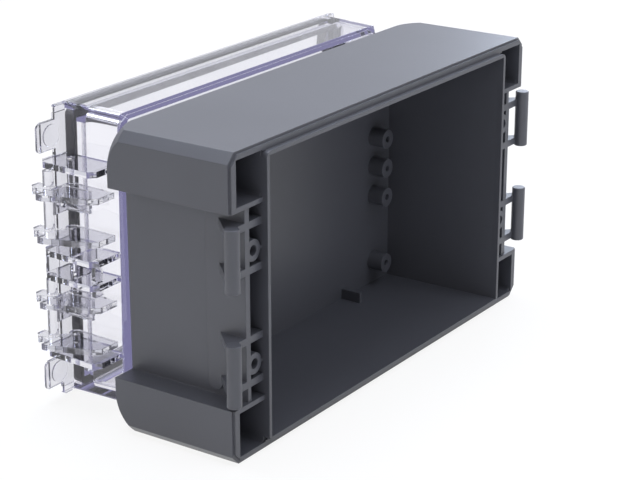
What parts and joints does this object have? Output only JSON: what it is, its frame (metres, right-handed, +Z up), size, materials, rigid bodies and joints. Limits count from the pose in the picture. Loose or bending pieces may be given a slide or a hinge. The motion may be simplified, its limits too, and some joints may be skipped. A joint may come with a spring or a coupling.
{
  "type": "electrical enclosure",
  "caption": "Shallow plastic instrument enclosure: open tray on its long side, clear gasketed lid stood behind it, snap levers that grip pins on the tray's ends.",
  "frame": {"origin": "middle of the whole part's box, on the surface that the tray and lid stand on", "axes": "+X along the length, +Y from the tray's open front towards its back and the lid, +Z up"},
  "size_m": [0.2292, 0.109, 0.125],
  "materials": {
    "graphite_plastic": "fine spark-eroded texture outside, semi-gloss inside",
    "clear_polycarbonate": "clear and polished",
    "gasket_foam": "smooth foamed-in seal"
  },
  "bodies": {
    "tray": {"base_tray": "graphite_plastic"},
    "lid": {"clear_lid": "clear_polycarbonate", "lid_gasket": "gasket_foam"},
    "closure_left_upper_lever": {"closure_left_upper": "clear_polycarbonate"},
    "closure_left_lower_lever": {"closure_left_lower": "clear_polycarbonate"},
    "closure_right_upper_lever": {"closure_right_upper": "clear_polycarbonate"},
    "closure_right_lower_lever": {"closure_right_lower": "clear_polycarbonate"}
  },
  "joints": [
    {"name": "lid_lift", "type": "slide", "parent": "tray", "child": "lid", "axis": [0, 0, 1], "range_m": [0, 0.15]},
    {"name": "closure_left_upper_turn", "type": "hinge", "parent": "lid", "child": "closure_left_upper_lever", "pos_m": [-0.09505, 0.04091, 0.08376], "axis": [0, 0.0175, -0.9998], "range_deg": [0, 12]},
    {"name": "closure_left_lower_turn", "type": "hinge", "parent": "lid", "child": "closure_left_lower_lever", "pos_m": [-0.09505, 0.04172, 0.03776], "axis": [0, 0.0175, -0.9998], "range_deg": [0, 12]},
    {"name": "closure_right_upper_turn", "type": "hinge", "parent": "lid", "child": "closure_right_upper_lever", "pos_m": [0.09735, 0.04086, 0.08696], "axis": [0, -0.0175, 0.9998], "range_deg": [0, 12]},
    {"name": "closure_right_lower_turn", "type": "hinge", "parent": "lid", "child": "closure_right_lower_lever", "pos_m": [0.09735, 0.04166, 0.04096], "axis": [0, -0.0175, 0.9998], "range_deg": [0, 12]}
  ]
}
